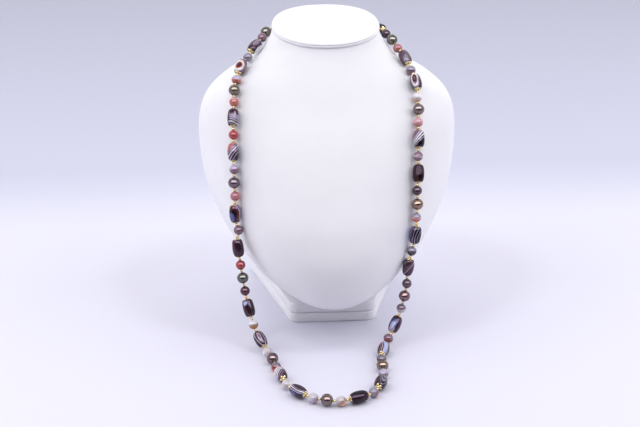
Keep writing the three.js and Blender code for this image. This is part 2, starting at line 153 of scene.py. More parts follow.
# Barrels in the order of the strand. Places are millimetres in the bead's own frame: x to the
# right, y up along the bead and z out of it, as the camera sees it. Each band ends at its
# distance. A patch is an oval of another tone: its middle, its reach each way and its tone.
# The ash patch of the fifteenth barrel is a painted sheen, not a tone of the stone.
BARREL_LOOKS = (
    eye_look((-1.2, 0.8, 4.6), (1, 2.5, 1.3), -6, [
        (0.9, "haze"), (1.4, "mauve"), (1.7, "lilac"), (2.3, "plum"), (2.7, "cocoa"),
        (9, "aubergine"),
    ], patches=[((4.3, -2, 2.4), (2.3, 6.4, 3.6), "milk")]),
    eye_look((-2.6, -1.8, 4), (1, 1.2, 1), 10, [
        (2, "wine"), (2.9, "brick"), (3.4, "peach"), (4.9, "milk"), (5.2, "haze"), (6.8, "mauve"),
        (9, "plum"),
    ]),
    stripe_look(78, 13, [
        (-5.8, "jet"), (-5, "haze"), (-4.2, "wine"), (-3.4, "milk"), (-2.2, "jet"),
        (-1.5, "lilac"), (-0.8, "plum"), (2.4, "haze"), (3.2, "mauve"), (8, "plum"),
    ], gloss=0.3, patches=[((-4.7, 0, 2), (1.5, 6, 3), "jet"), ((1.4, 2.2, 4.8), (1, 2.8, 1.5), "lilac")]),
    stripe_look(140, 26, [
        (-3.4, "aubergine"), (-2.6, "haze"), (-1.2, "aubergine"), (-0.5, "lilac"), (0.7, "plum"),
        (1.4, "milk"), (2.4, "cocoa"), (3, "haze"), (4, "mauve"), (8, "salmon"),
    ]),
    eye_look((-3.4, -3.4, 3.5), (1, 1.75, 1), -14, [
        (2.7, "slate"), (4.2, "jet"), (4.7, "umber"), (5.2, "jet"), (5.7, "brick"),
        (6.4, "aubergine"), (7, "lilac"), (7.6, "plum"), (8.3, "lilac"), (11, "mauve"),
    ]),
    stripe_look(170, 60, [
        (-4, "umber"), (3, "aubergine"), (6, "wine"),
    ]),
    stripe_look(178, 40, [
        (-3.4, "jet"), (-2.5, "umber"), (-1.6, "jet"), (-0.8, "cocoa"), (0.2, "jet"),
        (0.9, "plum"), (1.8, "jet"), (2.6, "umber"), (3.4, "jet"), (6, "plum"),
    ], patches=[((-2.2, 4.1, 4), (1.7, 2.1, 2), "ice")]),
    eye_look((0.4, 0.6, 4.9), (1, 3.1, 1), 8, [
        (0.9, "mauve"), (1.5, "lilac"), (1.9, "mauve"), (2.4, "jet"), (2.8, "plum"), (3.2, "jet"),
        (3.6, "milk"), (4.2, "jet"), (9, "aubergine"),
    ]),
    stripe_look(128, 30, [
        (-4.6, "aubergine"), (-3.8, "mauve"), (-2.8, "aubergine"), (-2, "haze"), (-0.9, "plum"),
        (0, "milk"), (0.8, "wine"), (1.7, "milk"), (2.4, "mauve"), (3.2, "lilac"), (4.2, "milk"),
        (8, "lilac"),
    ]),
    stripe_look(178, 22, [
        (-3.2, "plum"), (-2.6, "charcoal"), (-1.4, "jet"), (-0.9, "haze"), (-0.2, "jet"),
        (0.5, "milk"), (1.2, "jet"), (2, "lilac"), (2.6, "jet"), (6, "charcoal"),
    ], patches=[((-3.5, 2, 3.2), (1.9, 3.2, 2.4), "slate")]),
    stripe_look(170, 50, [
        (-2, "jet"), (2.4, "aubergine"), (6, "jet"),
    ], gloss=0.35),
    eye_look((0.3, 5, 4.4), (1, 3.4, 1), 6, [
        (0.6, "plum"), (1.2, "ash"), (1.9, "jet"), (2.4, "haze"), (3.2, "jet"), (3.6, "ash"),
        (4.4, "jet"), (9, "aubergine"),
    ]),
    stripe_look(8, 24, [
        (-3.8, "umber"), (-3.3, "wine"), (-2.4, "mauve"), (-1.6, "umber"), (-1.2, "bone"),
        (-0.7, "wine"), (-0.3, "plum"), (2.9, "ice"), (3.3, "haze"), (6, "jet"),
    ]),
    eye_look((-1.8, -2.2, 4), (1, 1.7, 1), -8, [
        (2.2, "ice"), (3.6, "slate"), (4.6, "jet"), (5.1, "umber"), (9, "plum"),
    ], patches=[((-1.2, -5.4, 4), (2.8, 3.2, 3), "lilac")]),
    stripe_look(-32, 60, [
        (-1.5, "plum"), (0.9, "cocoa"), (1.3, "lilac"), (6, "plum"),
    # The small ash patch at the upper left is a painted sheen.
    ], patches=[((-3.6, 4.6, 3.2), (1.1, 2, 2), "ash")]),
    eye_look((8, -3, 3), (1, 1.5, 1), 0, [
        (4.2, "umber"), (5.9, "jet"), (6.2, "haze"), (8.1, "jet"), (8.4, "lilac"), (9.9, "jet"),
        (10.3, "haze"), (11.4, "jet"), (12, "umber"), (15, "slate"),
    ]),
    eye_look((2.8, -3.6, 4.1), (1, 1.7, 1), 12, [
        (2.6, "jet"), (3, "umber"), (3.5, "jet"), (3.8, "cocoa"), (4.4, "jet"), (4.7, "umber"),
        (9, "aubergine"),
    ], patches=[((-0.6, 6.2, 3.2), (3, 1.8, 3.4), "plum")], gloss=0.2),
    stripe_look(-40, 24, [
        (-2.6, "mauve"), (-1.7, "lilac"), (-0.9, "mauve"), (0, "milk"), (0.8, "jet"),
        (1.6, "milk"), (2.3, "jet"), (3, "haze"), (8, "jet"),
    ], gloss=0.35),
    eye_look((-0.4, 1, 4.9), (1, 2.7, 1), -4, [
        (0.7, "mauve"), (1.5, "umber"), (2.1, "wine"), (3, "milk"), (3.5, "haze"), (4.2, "ash"),
        (9, "aubergine"),
    ]),
    eye_look((0.4, -5.4, 4), (1, 2.2, 1), -14, [
        (2.2, "haze"), (2.8, "ash"), (3.3, "umber"), (3.8, "mauve"), (4.4, "umber"), (9, "plum"),
    ]),
    stripe_look(160, 30, [
        (-2.4, "jet"), (-2, "lilac"), (-0.6, "aubergine"), (-0.2, "haze"), (1.4, "plum"),
        (6, "jet"),
    ]),
    eye_look((0.6, -1, 4.8), (1, 1.8, 1), 10, [
        (0.9, "haze"), (1.5, "plum"), (2.1, "milk"), (2.9, "jet"), (3.2, "lilac"),
        (9, "aubergine"),
    ]),
    stripe_look(-30, 28, [
        (-2.6, "umber"), (-2.2, "blush"), (-0.9, "aubergine"), (-0.5, "milk"), (0.6, "jet"),
        (1, "mauve"), (6, "charcoal"),
    ]),
    eye_look((1.4, 2.6, 4.6), (1, 1.6, 1), -10, [
        (1.5, "slate"), (2.4, "jet"), (2.8, "haze"), (3.6, "aubergine"), (4, "mauve"),
        (9, "plum"),
    ]),
)


# How round each barrel's flanks are, from nearly straight to a plain oval
BARREL_ROUNDNESS = (
    0.75, 0.8, 0.62, 0.8, 0.7, 0.6, 0.58, 0.9, 0.85, 0.8, 0.85, 0.8,
    0.85, 0.85, 0.85, 0.7, 0.6, 0.68, 0.85, 0.85, 0.7, 0.7, 0.7, 0.7,
)

# Round stones in the order of the strand: upper, middle and lower tone, where the middle lies and
# how far it reaches to each side, as shares of the radius, the lean of the layers in degrees, and
# how strongly fine lines show.
ROUND_LOOKS = (
    ("mauve", "mauve", "plum", -0.2, 0.3, 10, 0.2),
    ("haze", "ash", "haze", 0, 0.2, 0, 0.1),
    ("lilac", "salmon", "brick", -0.15, 0.3, 8, 0.1),
    ("blush", "salmon", "salmon", 0.4, 0.25, 0, 0.05),
    ("coral", "coral", "coral", -0.3, 0.2, 0, 0.02),
    ("lilac", "mauve", "mauve", 0, 0.14, -8, 0.3),
    ("rose", "rose", "coral", -0.4, 0.15, 0, 0.1),
    ("mauve", "cocoa", "mauve", -0.15, 0.1, -12, 0.2),
    ("coral", "coral", "brick", -0.2, 0.3, 0, 0.02),
    ("wine", "wine", "wine", 0, 0.3, 0, 0.05),
    ("milk", "tan", "ochre", 0.1, 0.12, -14, 0.1),
    ("bone", "milk", "bone", -0.2, 0.3, 12, 0.1),
    ("ash", "brick", "amber", 0.15, 0.32, -6, 0.1),
    ("bone", "milk", "peach", -0.5, 0.3, -60, 0.1),
    ("bone", "lilac", "blush", -0.3, 0.3, -35, 0.25),
    ("bone", "tan", "peach", -0.1, 0.3, -40, 0.35),
    ("haze", "mauve", "salmon", -0.5, 0.25, -70, 0.5),
    ("lilac", "ash", "haze", 0, 0.2, 0, 0.1),
    ("ash", "cocoa", "tan", 0, 0.25, 0, 0.15),
    ("mauve", "brick", "tan", -0.25, 0.25, 8, 0.1),
    ("ash", "mauve", "bone", 0.1, 0.2, 0, 0.15),
    ("cocoa", "cocoa", "umber", -0.4, 0.2, 0, 0.1),
    ("haze", "jet", "charcoal", -0.15, 0.2, 0, 0.1),
    ("haze", "blush", "salmon", -0.05, 0.15, 0, 0.1),
    ("plum", "aubergine", "wine", -0.1, 0.3, 0, 0.1),
    ("mauve", "milk", "mauve", -0.02, 0.07, 4, 0.8),
    ("blush", "blush", "rose", 0.1, 0.3, 0, 0.05),
    ("milk", "bone", "peach", -0.2, 0.25, 10, 0.05),
    ("haze", "plum", "mauve", -0.05, 0.14, 4, 0.2),
    ("rose", "salmon", "mauve", -0.3, 0.3, 10, 0.1),
    ("plum", "aubergine", "aubergine", 0, 0.2, 30, 0.1),
    ("rose", "mauve", "plum", 0, 0.2, 0, 0.1),
    ("haze", "ash", "cocoa", 0, 0.2, 0, 0.1),
    ("milk", "salmon", "brick", 0, 0.2, 0, 0.1),
    ("lilac", "mauve", "plum", 0, 0.2, 0, 0.1),
    ("bone", "tan", "cocoa", 0, 0.2, 0, 0.1),
)

# Pearls in the order of the strand: body tone, the tone that shines over it, how much longer than
# round it is, and how much it swells towards its upper end.
PEARL_LOOKS = (
    ((96, 92, 87), (122, 116, 109), 1, 0.01),
    ((101, 93, 85), (127, 117, 106), 1, -0.02),
    ((94, 82, 94), (120, 104, 112), 1, 0.02),
    ((84, 96, 88), (122, 98, 106), 0.99, 0),
    ((104, 86, 92), (124, 104, 106), 1, 0.01),
    ((108, 94, 94), (130, 112, 106), 1, 0),
    ((112, 98, 91), (134, 116, 104), 0.99, 0.01),
    ((112, 88, 97), (132, 110, 104), 1, -0.01),
    ((126, 104, 96), (142, 120, 104), 1, 0),
    ((104, 94, 98), (126, 112, 110), 1, 0.02),
    ((99, 96, 89), (123, 119, 111), 1, 0.05),
    ((95, 90, 86), (119, 111, 106), 1, 0),
)

# Level sections of the bust: rise, then half width, front, widest line and back, as shares
BUST_SECTIONS = (
    (0, 0.251, 0.263, 0.54, 0.793),
    (0.025, 0.368, 0.136, 0.545, 0.838),
    (0.072, 0.493, 0.045, 0.56, 0.884),
    (0.137, 0.65, 0.005, 0.581, 0.919),
    (0.239, 0.798, 0, 0.601, 0.955),
    (0.355, 0.915, 0.05, 0.616, 0.98),
    (0.471, 0.978, 0.131, 0.626, 0.995),
    (0.587, 1, 0.217, 0.631, 1),
    (0.694, 0.987, 0.303, 0.636, 1),
    (0.768, 0.924, 0.374, 0.646, 0.995),
    (0.824, 0.798, 0.424, 0.662, 0.987),
    (0.861, 0.664, 0.455, 0.677, 0.98),
    (0.893, 0.556, 0.48, 0.692, 0.97),
    (0.926, 0.484, 0.503, 0.707, 0.957),
    (0.963, 0.435, 0.523, 0.722, 0.944),
    (1, 0.411, 0.538, 0.735, 0.934),
)


# ---- Colours and nodes


def linear(value):
    value /= 255
    return value / 12.92 if value <= 0.04045 else ((value + 0.055) / 1.055) ** 2.4


def colour(rgb):
    return (*(linear(value) for value in rgb), 1.0)


def tone(name):
    return colour(TONES[name])


def put(tree, kind, inputs=None, **settings):
    """A new node with its settings and inputs, where an input is a value or another node's socket."""
    node = tree.nodes.new(kind)
    for key, value in settings.items():
        setattr(node, key, value)
    for key, value in (inputs or {}).items():
        socket = node.inputs[key]
        if isinstance(value, bpy.types.NodeSocket):
            tree.links.new(value, socket)
        else:
            socket.default_value = value
    return node


def calc(tree, operation, *values):
    return put(tree, "ShaderNodeMath", dict(enumerate(values)), operation=operation).outputs[0]


def vector_calc(tree, operation, *values):
    node = put(tree, "ShaderNodeVectorMath", dict(enumerate(values)), operation=operation)
    return node.outputs["Value" if operation in ("LENGTH", "DOT_PRODUCT") else "Vector"]


def map_range(tree, value, start, end, low=0.0, high=1.0, smooth=False):
    """The value moved from one range to another and kept within it."""
    inputs = {"Value": value, "From Min": start, "From Max": end, "To Min": low, "To Max": high}
    way = "SMOOTHSTEP" if smooth else "LINEAR"
    return put(tree, "ShaderNodeMapRange", inputs, interpolation_type=way).outputs[0]


def mix_tones(tree, factor, first, second):
    inputs = {"Factor": factor, 6: first, 7: second}
    return put(tree, "ShaderNodeMix", inputs, data_type="RGBA").outputs[2]


def noise_cloud(tree, place, scale, detail, output="Fac"):
    inputs = {"Vector": place, "Scale": scale, "Detail": detail}
    return put(tree, "ShaderNodeTexNoise", inputs).outputs[output]


def object_place(tree):
    return put(tree, "ShaderNodeTexCoord").outputs["Object"]


def bead_place(tree):
    return put(tree, "ShaderNodeAttribute", attribute_name="bead_place").outputs["Vector"]


def set_stops(ramp, stops):
    elements = ramp.elements
    while len(elements) > 1:
        elements.remove(elements[-1])
    for index, (at, shade) in enumerate(stops):
        element = elements[0] if index == 0 else elements.new(at)
        element.position = at
        element.color = shade


def new_material(name, inputs=None):
    material = bpy.data.materials.new(name)
    material.use_nodes = True
    tree = material.node_tree
    tree.nodes.clear()
    shader = put(tree, "ShaderNodeBsdfPrincipled", inputs)
    output = put(tree, "ShaderNodeOutputMaterial")
    tree.links.new(shader.outputs[0], output.inputs[0])
    return material, tree, shader


def colour_cloudy(tree, shader, cloud, first, second, start=0.3, end=0.7):
    """Colours the surface between two tones, as far as the cloud is thick."""
    ramp = put(tree, "ShaderNodeValToRGB", {0: cloud})
    set_stops(ramp.color_ramp, [(start, colour(first)), (end, colour(second))])
    tree.links.new(ramp.outputs["Color"], shader.inputs["Base Color"])


def add_bump(tree, shader, height, strength, distance):
    bump = put(tree, "ShaderNodeBump", {"Strength": strength, "Distance": distance, "Height": height})
    tree.links.new(bump.outputs[0], shader.inputs["Normal"])


def colour_shaded(tree, shader, stone, shade):
    shaded = put(tree, "ShaderNodeVectorMath", {0: stone, "Scale": shade}, operation="SCALE")
    tree.links.new(shaded.outputs[0], shader.inputs["Base Color"])


def wavering(tree, place, amount, scale, shift):
    """The place moved about by soft noise, so that bands wander as in grown stone."""
    moved = vector_calc(tree, "ADD", place, (shift, 2 * shift, -shift))
    cloud = noise_cloud(tree, moved, scale, 2.0, "Color")
    centred = vector_calc(tree, "SUBTRACT", cloud, (0.5, 0.5, 0.5))
    return vector_calc(tree, "MULTIPLY_ADD", centred, (amount, amount, amount), place)


def ring_distance(tree, place, centre, stretch, tilt):
    turn = (0, 0, math.radians(tilt))
    inputs = {"Vector": place, "Location": centre, "Rotation": turn, "Scale": stretch}
    turned = put(tree, "ShaderNodeMapping", inputs, vector_type="TEXTURE")
    return vector_calc(tree, "LENGTH", turned.outputs[0])


def fill_ramp(ramp, bands):
    """Each band ends at its distance; neighbours meet over a soft edge. Gives the ramp's reach."""
    first = bands[0][0] - 2
    last = bands[-1][0]
    stops = []
    start = first
    for end, name in bands:
        half = min(BAND_EDGE, (end - start) * 0.45) / 2
        for at in (start + half, end - half):
            stops.append(((at - first) / (last - first), tone(name)))
        start = end
    set_stops(ramp, stops)
    return first, last


def agate_material(number, look):
    gloss = {"Specular IOR Level": look["gloss"], "Specular Tint": AGATE_SHINE}
    material, tree, shader = new_material("agate_%02d" % number, {**POLISH, **gloss})
    place = bead_place(tree)
    waved = wavering(tree, place, 1.1, 0.22, 7.3 * number)
    waved = wavering(tree, waved, 0.25, 1.1, 3.1 * number)
    distance = ring_distance(tree, waved, look["centre"], look["stretch"], look["tilt"])
    ramp = put(tree, "ShaderNodeValToRGB")
    first, last = fill_ramp(ramp.color_ramp, look["bands"])
    share = map_range(tree, distance, first + look["start"], last + look["start"])
    tree.links.new(share, ramp.inputs[0])
    stone = ramp.outputs["Color"]
    # Patches are tones of the stone, except the fifteenth barrel's ash patch, which is a painted sheen.
    for middle, radii, name in look["patches"]:
        reach = ring_distance(tree, waved, middle, radii, 0)
        inside = map_range(tree, reach, 0.75, 1.05, 1.0, 0.0, smooth=True)
        stone = mix_tones(tree, inside, stone, tone(name))
    mottling = map_range(tree, noise_cloud(tree, place, 0.8, 4.0), 0.3, 0.7, 0.82, 1.12)
    colour_shaded(tree, shader, stone, mottling)
    return material


def round_stone_material():
    """Layered stone whose tones, layers and fine lines are read from each bead's own values."""
    gloss = {"Specular IOR Level": 0.75, "Specular Tint": ROUND_SHINE}
    material, tree, shader = new_material("round_stone", {**POLISH, **gloss})
    place = bead_place(tree)

    def read(name, output):
        return put(tree, "ShaderNodeAttribute", attribute_name=name).outputs[output]

    waved = wavering(tree, place, 0.9, 0.3, 4.0)
    level = vector_calc(tree, "DOT_PRODUCT", waved, read("layer_way", "Vector"))
    low, high, strength = put(tree, "ShaderNodeSeparateXYZ", {0: read("layer_limits", "Vector")}).outputs

    def above(limit):
        start = calc(tree, "SUBTRACT", limit, LAYER_EDGE)
        end = calc(tree, "ADD", limit, LAYER_EDGE)
        return map_range(tree, level, start, end, smooth=True)

    stone = mix_tones(tree, above(low), read("tone_lower", "Color"), read("tone_middle", "Color"))
    stone = mix_tones(tree, above(high), stone, read("tone_upper", "Color"))
    wave = calc(tree, "SINE", calc(tree, "MULTIPLY", level, FINE_LINES))
    lines = calc(tree, "MULTIPLY", wave, strength)
    mottling = map_range(tree, noise_cloud(tree, place, 0.9, 4.0), 0.3, 0.7, 0.86, 1.1)
    colour_shaded(tree, shader, stone, calc(tree, "MULTIPLY_ADD", lines, 0.3, mottling))
    return material


def pearl_material(number, body, sheen):
    inputs = {"Metallic": 1.0, "Roughness": 0.21, "Coat Weight": 0.4, "Coat Roughness": 0.28}
    material, tree, shader = new_material("pearl_lustre_%02d" % number, inputs)
    place = bead_place(tree)
    waved = wavering(tree, place, 3.0, 0.16, 5.7 * number)
    colour_cloudy(tree, shader, noise_cloud(tree, waved, 0.35, 3.0), body, sheen, end=0.72)
    add_bump(tree, shader, noise_cloud(tree, place, 6.0, 3.0), 0.01, 0.0003)
    return material


def gold_material():
    material, tree, shader = new_material("polished_gold", {"Metallic": 1.0, "Roughness": 0.16})
    cloud = noise_cloud(tree, object_place(tree), 900.0, 3.0)
    colour_cloudy(tree, shader, cloud, (192, 168, 112), (228, 211, 164))
    return material


def thread_material():
    material, tree, shader = new_material("waxed_thread", {"Roughness": 0.6})
    cloud = noise_cloud(tree, object_place(tree), 2500.0, 2.0)
    colour_cloudy(tree, shader, cloud, (126, 104, 52), (206, 186, 130), 0.0, 1.0)
    return material


def leatherette_material():
    """White covering with fine creases, a little rougher in the creases than between them."""
    material, tree, shader = new_material("white_leatherette")
    where = object_place(tree)
    inputs = {"Vector": where, "Scale": 1100.0}
    cells = put(tree, "ShaderNodeTexVoronoi", inputs, feature="DISTANCE_TO_EDGE")
    creases = map_range(tree, cells.outputs["Distance"], 0.0, 0.25)
    height = calc(tree, "ADD", creases, noise_cloud(tree, where, 260.0, 4.0))
    add_bump(tree, shader, height, 0.25, 0.0002)
    broad = noise_cloud(tree, where, 14.0, 3.0)
    colour_cloudy(tree, shader, broad, (228, 227, 232), (235, 234, 238))
    tree.links.new(map_range(tree, creases, 0.0, 1.0, 0.62, 0.46), shader.inputs["Roughness"])
    return material


# ---- Bead places


def cad_points(name):
    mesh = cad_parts[name].data
    points = np.empty(len(mesh.vertices) * 3, np.float32)
    mesh.vertices.foreach_get("co", points)
    return np.unique(points.reshape(-1, 3).astype(float).round(6), axis=0)


def main_line(points, largest):
    """Direction in which points spread the most, or the least."""
    centred = points - points.mean(axis=0)
    values, ways = np.linalg.eigh(centred.T @ centred)
    return Vector(ways[:, -1 if largest else 0])


def camera_turn():
    return Euler((math.radians(CAMERA_TILT), 0, math.radians(CAMERA_YAW)))


class Bead:
    """One bead's place: its middle, its line along the thread, and its frame as the camera sees it."""

    def __init__(self, kind, middle, line):
        self.kind = kind
        self.middle = Vector(middle)
        self.line = line.normalized()

    def turn_with(self, way):
        if self.line.dot(way) < 0:
            self.line.negate()

    def ends(self):
        reach = self.line * HALF_LENGTH[self.kind] * MM
        return self.middle - reach, self.middle + reach

    def frame(self):
        """Columns are right, up along the bead and out of it, as the camera sees them."""
        camera_up = camera_turn().to_matrix() @ Vector((0, 1, 0))
        up = self.line if self.line.dot(camera_up) > 0 else -self.line
        out = CAMERA_PLACE - self.middle
        out = (out - up * out.dot(up)).normalized()
        right = up.cross(out)
        return Matrix((right, up, out)).transposed()


def find_beads():
    """The places of all beads in the order of the strand, read from the plain solids."""
    kinds = BEAD_ORDER * ORDER_REPEATS
    beads = [None] * len(kinds)
    counts = {"pearl": 0, "barrel": 0}
    for index, kind in enumerate(kinds):
        if kind == "round":
            continue
        counts[kind] += 1
        points = cad_points("%s_%02d" % (kind, counts[kind]))
        middle = points.mean(axis=0)
        if kind == "pearl":
            reach = np.linalg.norm(points - middle, axis=1)
            points = points[np.argsort(reach)[:BORE_POINTS]]
        beads[index] = Bead(kind, middle, main_line(points, True))
    string = cad_points("bead_string")
    nearest, farthest = (limit * MM for limit in ROUND_REACH)
    drilled = [index for index, bead in enumerate(beads) if bead]
    for place, index in enumerate(drilled):
        before = beads[drilled[place - 1]]
        after = beads[drilled[(place + 1) % len(drilled)]]
        beads[index].turn_with(after.middle - before.middle)
    for index, kind in enumerate(kinds):
        if kind != "round":
            continue
        start = beads[index - 1].ends()[1]
        end = beads[(index + 1) % len(kinds)].ends()[0]
        middle = (start + end) / 2
        way = (end - start).normalized()
        for _ in range(3):
            offset = string - np.array(middle)
            reach = np.linalg.norm(offset, axis=1)
            side = np.linalg.norm(np.cross(offset, np.array(way)), axis=1)
            near = string[(reach > nearest) & (reach < farthest) & (side > ROUND_ASIDE * MM)]
            middle = Vector(near.mean(axis=0))
        beads[index] = Bead(kind, middle, main_line(near, False))
        beads[index].turn_with(way)
    return beads


# ---- Meshes


def mesh_object(name, vertices, faces, material=None, smooth=True):
    mesh = bpy.data.meshes.new(name)
    mesh.from_pydata([tuple(v) for v in vertices], [], faces)
    mesh.polygons.foreach_set("use_smooth", [smooth] * len(mesh.polygons))
    if material:
        mesh.materials.append(material)
    mesh.update()
    piece = bpy.data.objects.new(name, mesh)
    bpy.context.scene.collection.objects.link(piece)
    return piece


def store(mesh, name, kind, values):
    """Keeps one value for each point under a name that materials and nodes can read."""
    attribute = mesh.attributes.new(name, kind, "POINT")
    key = {"FLOAT_VECTOR": "vector", "FLOAT_COLOR": "color", "INT": "value"}[kind]
    number = np.int32 if kind == "INT" else np.float32
    attribute.data.foreach_set(key, np.array(values, number).ravel())


def ring_faces(rows, sides, joined):
    faces = []
    for row in range(rows if joined else rows - 1):
        here = row * sides
        there = (row + 1) % rows * sides
        for side in range(sides):
            beside = (side + 1) % sides
            faces.append((here + side, there + side, there + beside, here + beside))
    return faces


def turned_form(rows, sides, shape=None):
    """Points of a turned bead in its own frame, where y runs along it, with the bore inside."""
    points = []
    for along, radius in rows:
        for side in range(sides):
            angle = 2 * math.pi * side / sides
            point = Vector((radius * math.cos(angle), along, radius * math.sin(angle)))
            points.append(shape(point) if shape and radius > 1 else point)
    return points, ring_faces(len(rows), sides, True)


def barrel_rows(sizes, fullness, slices=36):
    rows = []
    half = sizes.barrel_length / 2
    for step in range(slices + 1):
        angle = math.pi * step / slices
        swell = (sizes.barrel_radius - BARREL_END_RADIUS) * math.sin(angle) ** fullness
        rows.append((-half * math.cos(angle), BARREL_END_RADIUS + swell))
    return rows + [(half, sizes.bore_radius), (-half, sizes.bore_radius)]


def ball_rows(radius, length, bore, slices=22):
    share = math.acos(math.sqrt(1 - (bore / radius) ** 2))
    rows = []
    for step in range(slices + 1):
        angle = share + (math.pi - 2 * share) * step / slices
        rows.append((-0.5 * length * math.cos(angle), radius * math.sin(angle)))
    return rows


def bore_rows(rows, depth, radius):
    """The narrow bore that joins the two ends of a bead."""
    return [(rows[-1][0] - depth, radius), (rows[0][0] + depth, radius)]


def bead_piece(name, bead, points, faces, material):
    """A bead in its place, whose points keep their millimetres in the bead's own frame."""
    turn = bead.frame()
    vertices = [bead.middle + turn @ (point * MM) for point in points]
    piece = mesh_object(name, vertices, faces, material)
    store(piece.data, "bead_place", "FLOAT_VECTOR", [tuple(p) for p in points])
    return piece


# ---- Settings


def size_setting(name, description, default, least, most):
    """A size in millimetres that the panel shows."""
    note = description + ", in millimetres"
    return bpy.props.FloatProperty(name=name, description=note, default=default, min=least, max=most)


def power_setting(name, description, default):
    return bpy.props.FloatProperty(
        name=name, description=description, default=default, min=0, unit="POWER"
    )


def tone_setting(name, description, default):
    return bpy.props.FloatVectorProperty(
        name=name, description=description, default=default, subtype="COLOR", min=0, max=1
    )


class NecklaceSettings(bpy.types.PropertyGroup):
    barrel_radius: size_setting("Barrel radius", "Half of a barrel's thickness", 4.9, 3, 6)
    barrel_length: size_setting("Barrel length", "Length of a barrel without its caps", 14.4, 8, 18)
    pearl_radius: size_setting("Pearl radius", "Half of a pearl's thickness", 4.8, 3, 6)
    round_radius: size_setting("Round radius", "Half of a round stone's thickness", 4.05, 3, 5)
    spacer_radius: size_setting("Spacer radius", "Half of a gold spacer's thickness", 1.25, 0.8, 2)
    cap_radius: size_setting("Cap radius", "Reach of a cap's petals", 3.1, 2, 3.5)
    bore_radius: size_setting("Bore radius", "Half of a bead's drilled hole", 0.8, 0.5, 1.2)
    thread_radius: size_setting("Thread radius", "Half of the thread's thickness", 0.45, 0.2, 0.7)


class StandSettings(bpy.types.PropertyGroup):
    bust_half_width: size_setting("Bust half width", "Half of the bust across the shoulders", 111.5, 90, 130)
    bust_depth: size_setting("Bust depth", "Bust from chest to back", 198, 160, 230)
    bust_height: size_setting("Bust height", "Bust from the base to the neck's top", 215.4, 180, 240)
    chest_overhang: size_setting("Chest overhang", "Reach of the chest in front of the base", 47, 30, 60)
    neck_lean: bpy.props.FloatProperty(
        name="Neck lean",
        description="Slope of the neck's top towards the front",
        default=math.radians(10.5),
        subtype="ANGLE",
    )
    surface_shrink: size_setting("Surface margin", "Room kept under the resting beads", 0.25, 0, 1)


class StageSettings(bpy.types.PropertyGroup):
    floor_colour: tone_setting("Floor colour", "Tone of the floor near the necklace", (0.68, 0.67, 0.775))
    # The far tone is darker as painted shade: it stands in for the dim backdrop behind the bust.
    far_shade_colour: tone_setting("Far colour", "Tone of the floor behind the bust", (0.53, 0.535, 0.67))
    key_power: power_setting("Key lights", "Power of each of the two overhead lights", 2.2)
    fill_power: power_setting("Fill light", "Power of the wide upper light", 2.5)
    side_power: power_setting("Side lights", "Power of each of the two wide side lights", 12.5)
    shine_power: power_setting("Shine panel", "Power of the panel that glossy surfaces mirror", 94.0)


# ---- Pieces


class NECKLACE_OT_add_pearls(bpy.types.Operator):
    """Adds the twelve dark pearls in place of their plain solids"""

    bl_idname = "necklace.add_pearls"
    bl_label = "Pearls"

    def execute(self, context):
        sizes = context.scene.necklace_settings
        slices, sides = 30, 44
        pearls = [bead for bead in find_beads() if bead.kind == "pearl"]
        for number, (bead, look) in enumerate(zip(pearls, PEARL_LOOKS), 1):
            body, sheen, longer, swell = look

            def shape(point, number=number, swell=swell):
                way = point.normalized()
                lump = noise.noise(way * 1.3 + Vector((number * 3.7, 0, 0)))
                dimple = noise.noise(way * 4.0 + Vector((0, number * 5.1, 0)))
                grow = 1 + 0.022 * lump + 0.002 * dimple + swell * point.y / sizes.pearl_radius
                return Vector((point.x * grow, point.y, point.z * grow))

            rows = ball_rows(sizes.pearl_radius, PEARL_LENGTH * longer, sizes.bore_radius, slices)
            rows += bore_rows(rows, 0.5, sizes.bore_radius * 0.8)
            points, faces = turned_form(rows, sides, shape)
            name = "pearl_%02d" % number
            piece = bead_piece("lustre_" + name, bead, points, faces, pearl_material(number, body, sheen))
            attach(piece, "root")
            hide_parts(name)
        return {"FINISHED"}


class NECKLACE_OT_add_barrels(bpy.types.Operator):
    """Adds the banded agate barrels in place of their plain solids"""

    bl_idname = "necklace.add_barrels"
    bl_label = "Barrels"

    def execute(self, context):
        sizes = context.scene.necklace_settings
        sides = 40
        # The swell fades from the middle to the ends, which lie this far out, in millimetres.
        half, fade_end = 7.2, 7.3
        barrels = [bead for bead in find_beads() if bead.kind == "barrel"]
        for number, (bead, look) in enumerate(zip(barrels, BARREL_LOOKS), 1):
            swell = 0.02 * math.sin(number * 1.7)

            def shape(point, number=number, swell=swell):
                lump = noise.noise(point * 0.16 + Vector((number * 4.3, 0, 0)))
                grow = 0.985 + 0.02 * lump + swell * point.y / half * (1 - abs(point.y) / fade_end)
                return Vector((point.x * grow, point.y, point.z * grow))

            rows = barrel_rows(sizes, BARREL_ROUNDNESS[number - 1])
            points, faces = turned_form(rows, sides, shape)
            name = "barrel_%02d" % number
            piece = bead_piece("agate_" + name, bead, points, faces, agate_material(number, look))
            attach(piece, "root")
            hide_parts(name)
        return {"FINISHED"}


def small_form(name, points, faces):
    """A piece in its own frame, which the string repeats."""
    return mesh_object(name, [point * MM for point in points], faces)


